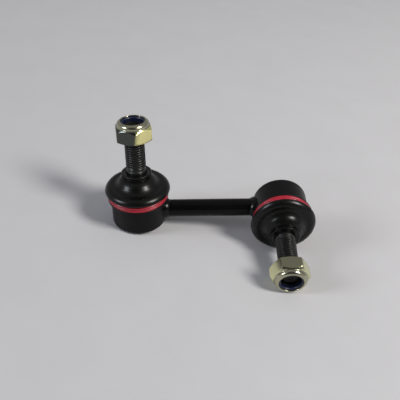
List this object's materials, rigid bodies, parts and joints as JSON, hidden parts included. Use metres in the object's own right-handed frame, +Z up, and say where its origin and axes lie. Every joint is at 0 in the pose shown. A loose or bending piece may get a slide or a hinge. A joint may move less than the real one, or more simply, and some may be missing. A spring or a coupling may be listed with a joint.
{
  "type": "stabilizer link",
  "caption": "Short stabilizer link: a black welded rod with ball joints at right angles, rubber boots with red clamp rings, threaded studs and zinc-plated lock nuts.",
  "frame": {"origin": "on the bench, under the middle of the part's box as it lies", "axes": "+Z up from the bench, +X along the rod's length on the bench towards the joint whose stud lies down, -Y the way that stud points"},
  "size_m": [0.1074, 0.0662, 0.0583],
  "materials": {
    "rod_coat": "gloss black coat",
    "housing_coat": "satin black coat",
    "stud_black": "black phosphate",
    "steel": "bare steel",
    "seat_plastic": "greased plastic",
    "boot_rubber": "satin rubber",
    "ring_red": "satin red",
    "nut_zinc": "yellow zinc plate",
    "insert_nylon": "dark blue nylon"
  },
  "bodies": {
    "link": {"link_rod": "rod_coat", "left_weld": "rod_coat", "right_weld": "rod_coat", "left_housing": "housing_coat", "right_housing": "housing_coat", "left_ball_seat": "seat_plastic", "right_ball_seat": "seat_plastic", "left_closing_ring": "steel", "right_closing_ring": "steel", "left_clamp_ring": "ring_red", "right_clamp_ring": "ring_red", "left_boot": "boot_rubber", "right_boot": "boot_rubber"},
    "left_ball": {"left_ball": "steel"},
    "left_neck": {"left_neck_ring": "steel"},
    "left_stud": {"left_stud": "stud_black"},
    "left_insert": {"left_nut_insert": "insert_nylon"},
    "left_nut": {"left_nut": "nut_zinc"},
    "right_ball": {"right_ball": "steel"},
    "right_neck": {"right_neck_ring": "steel"},
    "right_stud": {"right_stud": "stud_black"},
    "right_insert": {"right_nut_insert": "insert_nylon"},
    "right_nut": {"right_nut": "nut_zinc"}
  },
  "joints": [
    {"name": "left_tilt", "type": "hinge", "parent": "link", "child": "left_ball", "pos_m": [-0.03626, 0.01695, 0.0126], "axis": [0.991, 0, 0.134], "range_deg": [-9.6, 26.4], "deforming": ["left_boot"]},
    {"name": "left_lean", "type": "hinge", "parent": "left_ball", "child": "left_neck", "pos_m": [-0.03626, 0.01695, 0.0126], "axis": [0.0091, 0.9977, -0.0674], "range_deg": [-17.1, 18.9], "deforming": ["left_boot"]},
    {"name": "left_spin", "type": "hinge", "parent": "left_neck", "child": "left_stud", "pos_m": [-0.03626, 0.01695, 0.0126], "axis": [-0.1492, 0.068, 0.9865], "continuous": true},
    {"name": "left_nut_travel", "type": "slide", "parent": "left_stud", "child": "left_insert", "axis": [-0.1492, 0.068, 0.9865], "range_m": [-0.015, 0.02]},
    {"name": "left_nut_spin", "type": "hinge", "parent": "left_insert", "child": "left_nut", "pos_m": [-0.03626, 0.01695, 0.0126], "axis": [-0.1492, 0.068, 0.9865], "range_deg": [-4320, 5760]},
    {"name": "right_tilt", "type": "hinge", "parent": "link", "child": "right_ball", "pos_m": [0.03717, 0.01254, 0.01732], "axis": [0.991, 0, 0.134], "range_deg": [-25.1, 10.9], "deforming": ["right_boot"]},
    {"name": "right_lean", "type": "hinge", "parent": "right_ball", "child": "right_neck", "pos_m": [0.03717, 0.01254, 0.01732], "axis": [-0.1312, -0.2011, 0.9707], "range_deg": [-18, 18], "deforming": ["right_boot"]},
    {"name": "right_spin", "type": "hinge", "parent": "right_neck", "child": "right_stud", "pos_m": [0.03717, 0.01254, 0.01732], "axis": [0.0269, -0.9796, -0.1993], "continuous": true},
    {"name": "right_nut_travel", "type": "slide", "parent": "right_stud", "child": "right_insert", "axis": [0.0269, -0.9796, -0.1993], "range_m": [-0.015, 0.02]},
    {"name": "right_nut_spin", "type": "hinge", "parent": "right_insert", "child": "right_nut", "pos_m": [0.03717, 0.01254, 0.01732], "axis": [0.0269, -0.9796, -0.1993], "range_deg": [-4320, 5760]}
  ],
  "couplings": [
    {"joint": "left_nut_travel", "follows": "left_nut_spin", "m_per_rad": 0.00019894},
    {"joint": "right_nut_travel", "follows": "right_nut_spin", "m_per_rad": 0.00019894}
  ]
}
